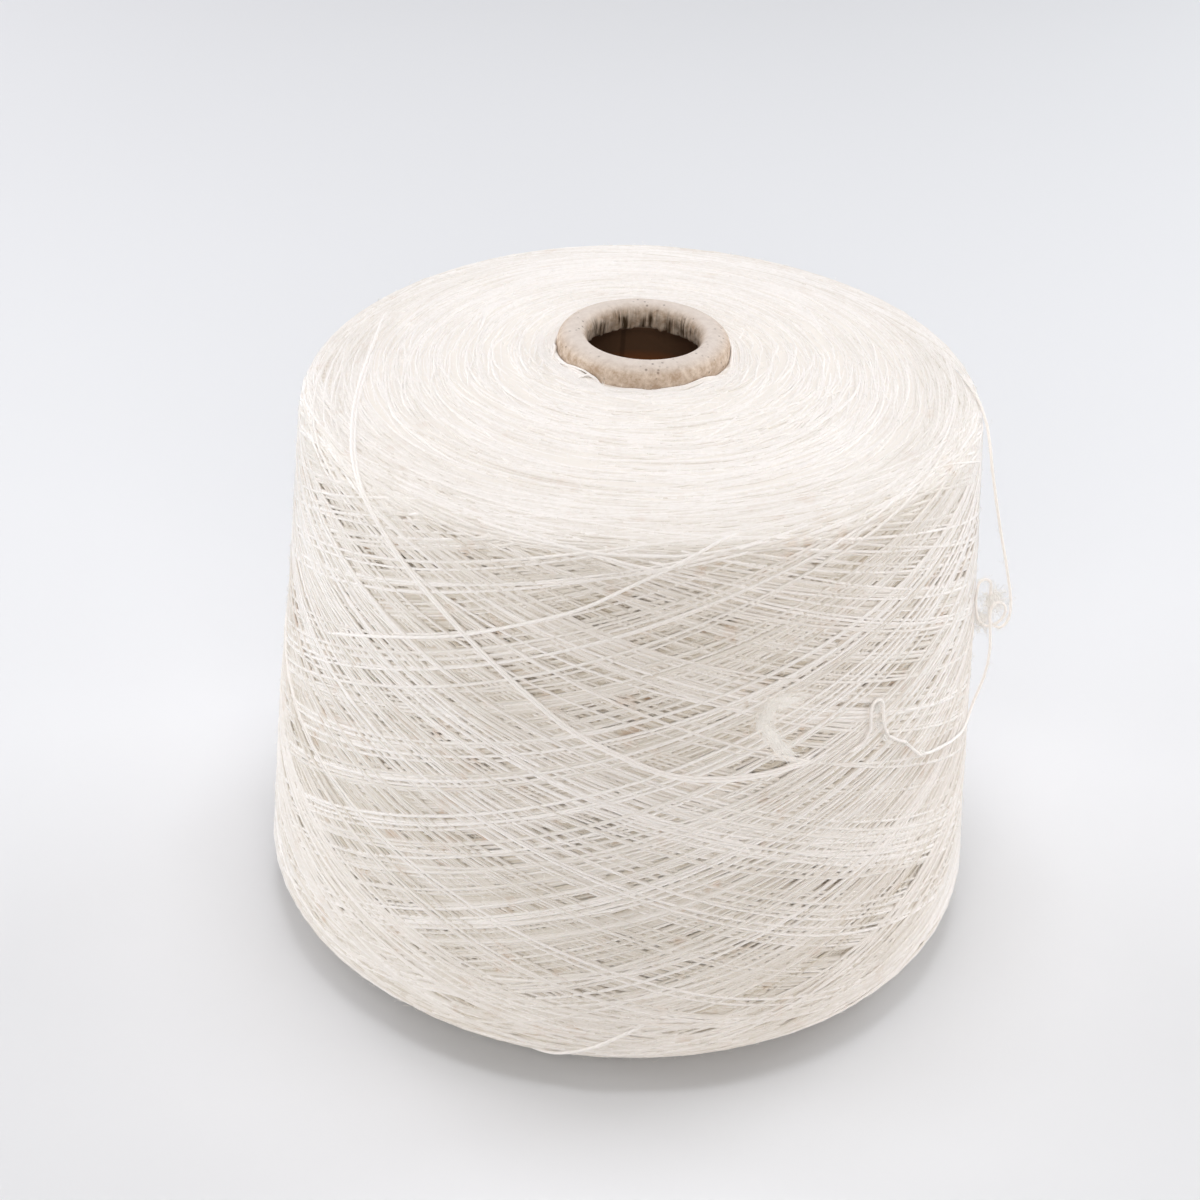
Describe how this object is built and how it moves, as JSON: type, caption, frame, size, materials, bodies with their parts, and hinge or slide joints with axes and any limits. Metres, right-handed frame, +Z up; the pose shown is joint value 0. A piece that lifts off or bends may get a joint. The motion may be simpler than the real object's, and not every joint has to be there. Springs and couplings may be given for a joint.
{
  "type": "cone of yarn",
  "caption": "Cone of undyed yarn, cross-wound on a tapered paper cone with a rolled-in nose, domed at the top, with a loose end hanging down one side.",
  "frame": {"origin": "centre of the paper cone's wide end, on the surface that it stands on", "axes": "+Z up along the cone's axis, towards its narrow nose; -Y towards the viewer of the picture; the loose end hangs at +X"},
  "size_m": [0.1978, 0.1925, 0.169],
  "materials": {
    "yarn": "undyed ring-spun yarn in crossing turns, slightly fuzzy",
    "paper_board": "matte grey-brown recycled board with dark specks, darker inside"
  },
  "bodies": {
    "root": {"yarn_package": "yarn", "loose_end": "yarn", "paper_cone": "paper_board"}
  },
  "joints": []
}
